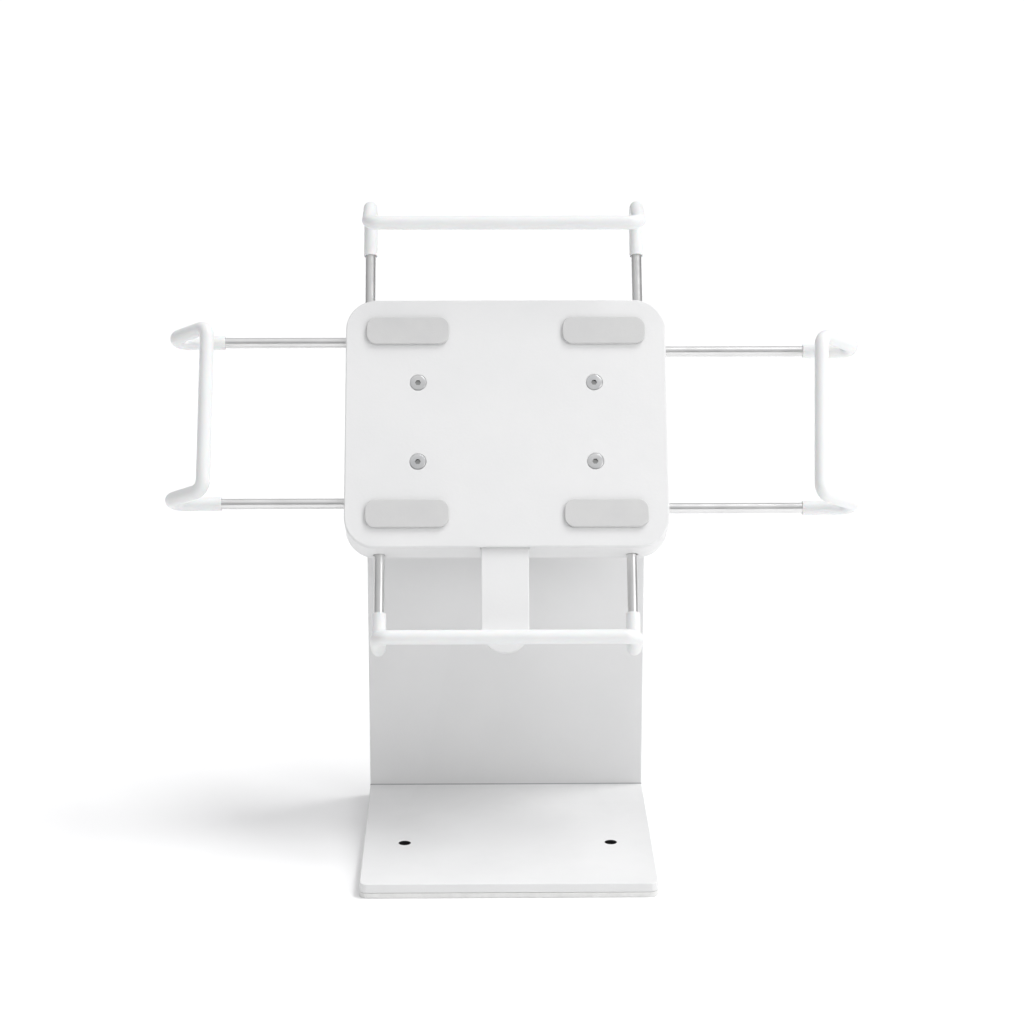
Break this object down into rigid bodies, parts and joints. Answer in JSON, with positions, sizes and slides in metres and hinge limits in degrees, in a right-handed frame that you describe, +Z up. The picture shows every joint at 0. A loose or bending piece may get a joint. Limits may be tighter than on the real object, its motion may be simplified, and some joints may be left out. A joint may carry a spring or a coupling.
{
  "type": "tablet stand",
  "caption": "Desk stand with an L-shaped foot and upright, a tilting head, and sliding U-shaped wire arms whose sleeved hooks hold a tablet by its edges.",
  "frame": {"origin": "centre of the base's underside, on the table", "axes": "+X to the user's right, +Y away from the user, +Z up; the user sits at -Y"},
  "size_m": [0.2672, 0.1445, 0.2386],
  "materials": {
    "white_powder_coat": "satin powder coat",
    "white_vinyl": "soft satin dipped sleeve",
    "rod_steel": "satin zinc-plated wire",
    "base_mat": "fine-grained matt",
    "pad_rubber": "matt",
    "zinc_steel": "bright zinc",
    "nylon": "natural nylon"
  },
  "bodies": {
    "base": {"stand_bracket": "white_powder_coat", "base_mat": "base_mat", "hinge_yoke": "white_powder_coat", "tilt_pin": "zinc_steel", "tilt_nut": "zinc_steel", "friction_washer_left": "nylon", "friction_washer_right": "nylon", "yoke_screw_1": "zinc_steel", "yoke_screw_2": "zinc_steel", "yoke_screw_3": "zinc_steel", "yoke_screw_4": "zinc_steel"},
    "head": {"tilt_bracket": "white_powder_coat", "head_rim": "white_powder_coat", "back_plate": "white_powder_coat", "front_cover": "white_powder_coat", "spring_stop": "white_powder_coat", "cover_post_1": "zinc_steel", "cover_post_2": "zinc_steel", "cover_post_3": "zinc_steel", "cover_post_4": "zinc_steel", "bracket_screw_1": "zinc_steel", "bracket_screw_2": "zinc_steel", "bracket_screw_3": "zinc_steel", "bracket_screw_4": "zinc_steel", "cover_screw_1": "zinc_steel", "cover_screw_2": "zinc_steel", "cover_screw_3": "zinc_steel", "cover_screw_4": "zinc_steel", "lower_left_pad": "pad_rubber", "lower_right_pad": "pad_rubber", "upper_left_pad": "pad_rubber", "upper_right_pad": "pad_rubber", "upper_rod_guide": "nylon", "lower_rod_guide": "nylon", "left_rod_guide": "nylon", "right_rod_guide": "nylon", "clamp_plate": "zinc_steel", "release_spring": "zinc_steel"},
    "left_arm": {"left_arm_rod": "rod_steel", "left_arm_sleeve": "white_vinyl"},
    "right_arm": {"right_arm_rod": "rod_steel", "right_arm_sleeve": "white_vinyl"},
    "top_arm": {"top_arm_rod": "rod_steel", "top_arm_sleeve": "white_vinyl"},
    "bottom_arm": {"bottom_arm_rod": "rod_steel", "bottom_arm_sleeve": "white_vinyl"},
    "tongue": {"release_tongue": "white_powder_coat"}
  },
  "joints": [
    {"name": "tilt", "type": "hinge", "parent": "base", "child": "head", "pos_m": [0, 0.0539, 0.1437], "axis": [-1, 0, 0], "range_deg": [-30, 30]},
    {"name": "left_arm_slide", "type": "slide", "parent": "head", "child": "left_arm", "axis": [-1, 0, 0], "range_m": [-0.025, 0.02]},
    {"name": "right_arm_slide", "type": "slide", "parent": "head", "child": "right_arm", "axis": [1, 0, 0], "range_m": [-0.025, 0.02]},
    {"name": "top_arm_slide", "type": "slide", "parent": "head", "child": "top_arm", "axis": [0, 0.509, 0.8607], "range_m": [-0.021, 0.022]},
    {"name": "bottom_arm_slide", "type": "slide", "parent": "head", "child": "bottom_arm", "axis": [0, -0.509, -0.8607], "range_m": [-0.018, 0.022]},
    {"name": "release_slide", "type": "slide", "parent": "head", "child": "tongue", "axis": [0, 0.509, 0.8607], "range_m": [0, 0.008], "stiffness_N_per_m": 300, "springref_m": -0.006, "deforming": ["release_spring"]}
  ]
}
